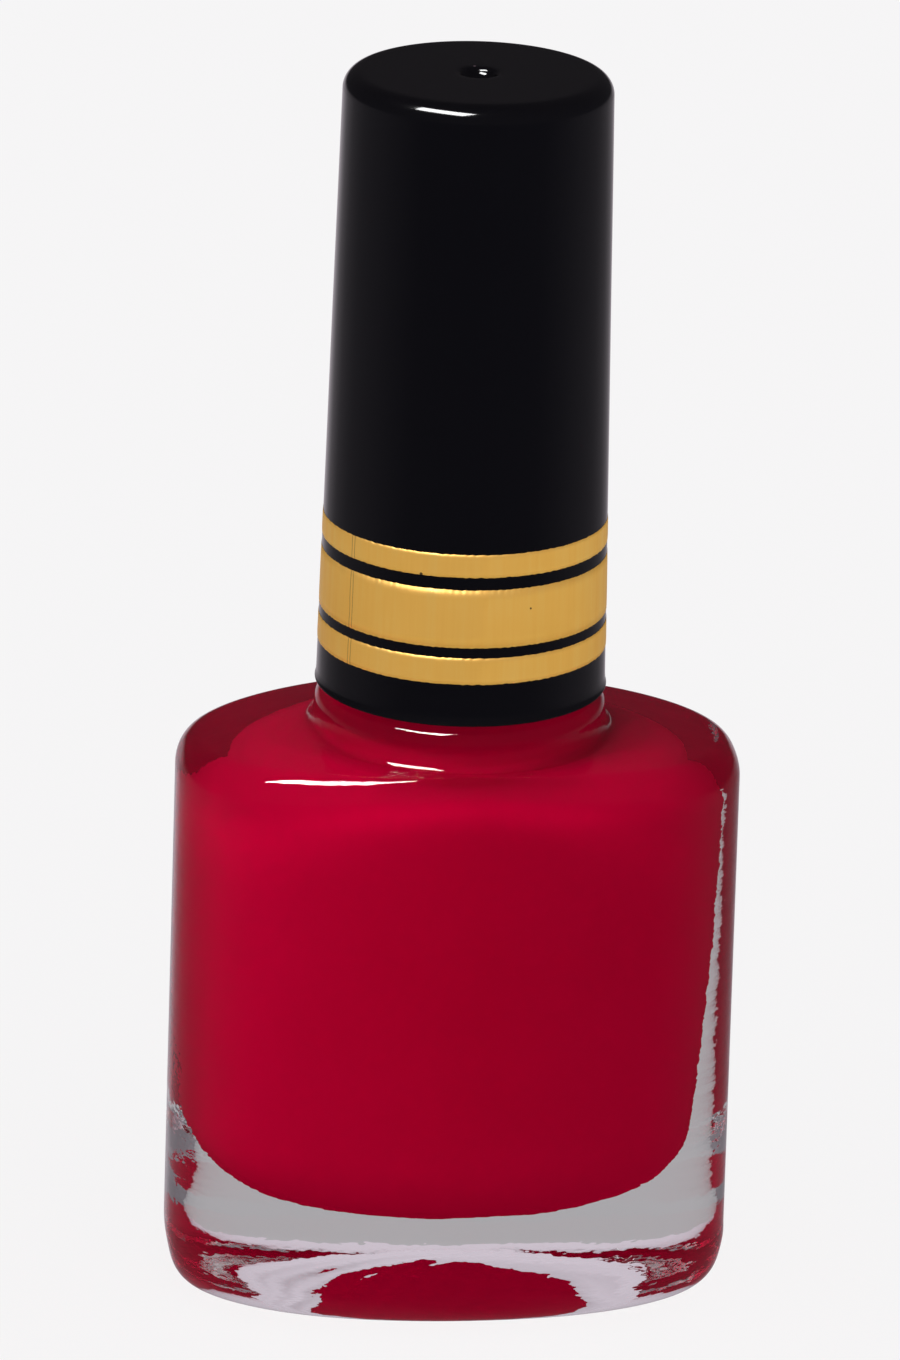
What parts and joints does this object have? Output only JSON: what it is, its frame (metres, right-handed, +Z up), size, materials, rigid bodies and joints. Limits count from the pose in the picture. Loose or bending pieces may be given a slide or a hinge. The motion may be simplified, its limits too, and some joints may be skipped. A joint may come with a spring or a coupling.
{
  "type": "nail polish bottle",
  "caption": "Oval glass flask of red nail lacquer with a tall round black screw cap ringed by gold foil bands; the cap carries the brush.",
  "frame": {"origin": "centre of the flask's foot, on the surface it stands on", "axes": "+Z up along the neck and cap, X along the flask's width, Y through its depth"},
  "size_m": [0.038, 0.0222, 0.0841],
  "materials": {
    "bottle_glass": "clear moulded glass, fire polished",
    "lacquer_red": "opaque deep red cream lacquer, wet against the glass",
    "ball_steel": "polished stainless ball",
    "seal_foam": "white polyethylene foam",
    "stem_plastic": "black moulded polyethylene",
    "bristle_nylon": "black nylon filaments wet with lacquer",
    "staple_wire": "drawn steel wire",
    "sleeve_plastic": "black moulded polypropylene",
    "cap_plastic": "high gloss black injection-moulded plastic",
    "gold_foil": "hot-stamped gold foil, faintly streaked"
  },
  "bodies": {
    "bottle": {"glass_bottle": "bottle_glass", "lacquer": "lacquer_red"},
    "ball_left": {"mixing_ball_left": "ball_steel"},
    "ball_right": {"mixing_ball_right": "ball_steel"},
    "seal": {"lip_seal": "seal_foam"},
    "applicator": {"brush_stem": "stem_plastic", "bristle_tuft": "bristle_nylon", "tuft_staple": "staple_wire"},
    "cap": {"inner_cap": "sleeve_plastic", "overcap": "cap_plastic", "gold_band_upper": "gold_foil", "gold_band_middle": "gold_foil", "gold_band_lower": "gold_foil"}
  },
  "joints": [
    {"name": "cap_lift", "type": "slide", "parent": "bottle", "child": "seal", "axis": [0, 0, 1], "range_m": [0, 0.05]},
    {"name": "thread_rise", "type": "slide", "parent": "seal", "child": "applicator", "axis": [0, 0, 1], "range_m": [0, 0.0037]},
    {"name": "cap_turn", "type": "hinge", "parent": "applicator", "child": "cap", "pos_m": [0, 0, 0.05], "axis": [0, 0, 1], "range_deg": [0, 630]},
    {"name": "ball_left_roll", "type": "slide", "parent": "bottle", "child": "ball_left", "axis": [-1, 0, 0], "range_m": [0, 0.0025]},
    {"name": "ball_right_roll", "type": "slide", "parent": "bottle", "child": "ball_right", "axis": [1, 0, 0], "range_m": [0, 0.0025]}
  ],
  "couplings": [
    {"joint": "thread_rise", "follows": "cap_turn", "m_per_rad": 0.00033423}
  ]
}
